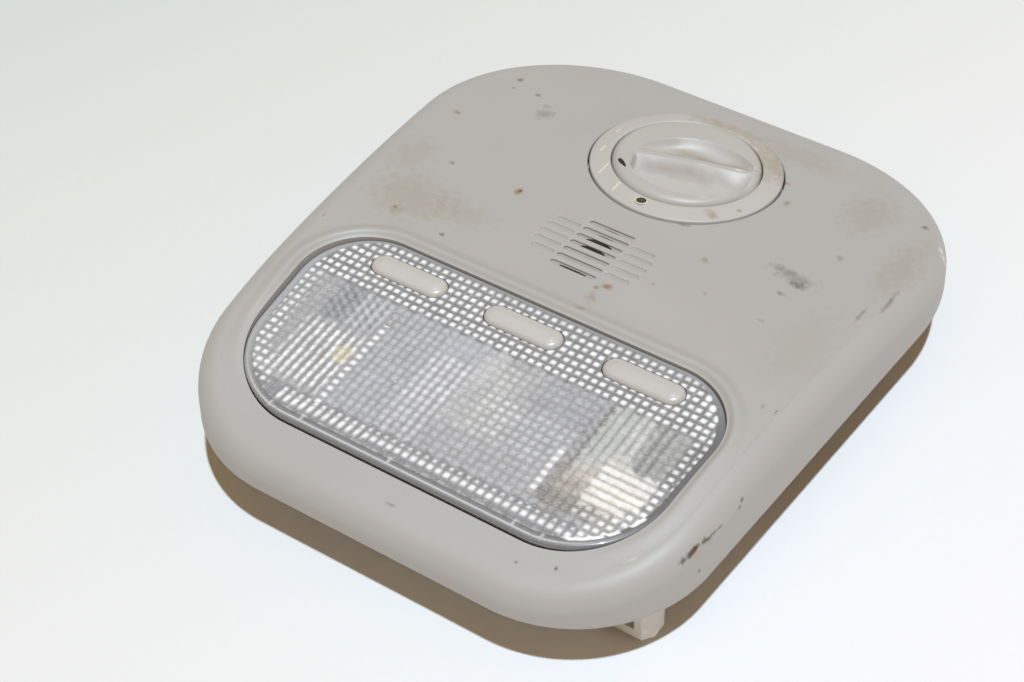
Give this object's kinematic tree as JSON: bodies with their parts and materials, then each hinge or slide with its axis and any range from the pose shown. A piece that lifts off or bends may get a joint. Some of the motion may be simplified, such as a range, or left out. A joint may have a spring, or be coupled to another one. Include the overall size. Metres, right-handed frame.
{
  "type": "car interior light",
  "caption": "Overhead car interior light: crowned rounded bezel with a prismatic lamp lens and push buttons, a slotted grille and a rotary dial on a scale ring.",
  "frame": {"origin": "below the middle of the bezel's outline, on the plane that the rear feet stand on", "axes": "+Z out of the visible face, +X across the lamp to the right button, +Y from the lamp end to the dial end"},
  "size_m": [0.1474, 0.175, 0.0325],
  "materials": {
    "bezel_plastic": "fine moulded texture, warm light grey, slightly soiled",
    "lens_plastic": "clear moulded plastic with prisms underneath",
    "reflector_coat": "bright metallised plastic",
    "housing_plastic": "white moulded plastic",
    "bulb_glass": "clear glass",
    "contact_metal": "stamped brass",
    "button_plastic": "milky grey, polished by use",
    "switch_plastic": "black moulded plastic",
    "board": "green solder mask",
    "fastener": "zinc plated",
    "connector_plastic": "black moulded plastic",
    "ring_plastic": "moulded, warm light grey",
    "indicator_plastic": "dark smoked window",
    "knob_plastic": "moulded, warm grey, soiled on the grip",
    "spindle_plastic": "natural moulded plastic",
    "capsule_metal": "satin",
    "spring_steel": "bare spring steel"
  },
  "bodies": {
    "light": {"bezel": "bezel_plastic", "lens": "lens_plastic", "reflector": "reflector_coat", "lamp_housing": "housing_plastic", "left_bulb": "bulb_glass", "centre_bulb": "bulb_glass", "right_bulb": "bulb_glass", "left_bulb_contacts": "contact_metal", "centre_bulb_contacts": "contact_metal", "right_bulb_contacts": "contact_metal", "left_switch": "switch_plastic", "centre_switch": "switch_plastic", "right_switch": "switch_plastic", "circuit_board": "board", "board_screws": "fastener", "feed_strip": "contact_metal", "lamp_connector": "connector_plastic", "lamp_pins": "contact_metal", "housing_screws": "fastener", "dial_ring": "ring_plastic", "indicator_lens": "indicator_plastic", "rotary_switch": "switch_plastic", "switch_base": "connector_plastic", "switch_pins": "contact_metal", "dial_screws": "fastener", "microphone_holder": "housing_plastic", "microphone": "capsule_metal", "left_spring_clip": "spring_steel", "right_spring_clip": "spring_steel"},
    "left_press_button": {"left_button": "button_plastic", "left_plunger": "switch_plastic"},
    "centre_press_button": {"centre_button": "button_plastic", "centre_plunger": "switch_plastic"},
    "right_press_button": {"right_button": "button_plastic", "right_plunger": "switch_plastic"},
    "turning_dial": {"dial_knob": "knob_plastic", "spindle": "spindle_plastic"}
  },
  "joints": [
    {"name": "left_button_press", "type": "slide", "parent": "light", "child": "left_press_button", "axis": [0, 0.0645, -0.9979], "range_m": [0, 0.0016], "stiffness_N_per_m": 600},
    {"name": "centre_button_press", "type": "slide", "parent": "light", "child": "centre_press_button", "axis": [0, 0.0645, -0.9979], "range_m": [0, 0.0016], "stiffness_N_per_m": 600},
    {"name": "right_button_press", "type": "slide", "parent": "light", "child": "right_press_button", "axis": [0, 0.0645, -0.9979], "range_m": [0, 0.0016], "stiffness_N_per_m": 600},
    {"name": "dial_turn", "type": "hinge", "parent": "light", "child": "turning_dial", "pos_m": [0, 0.0509, 0.02507], "axis": [0, 0.1392, 0.9903], "range_deg": [-48, 48]}
  ]
}
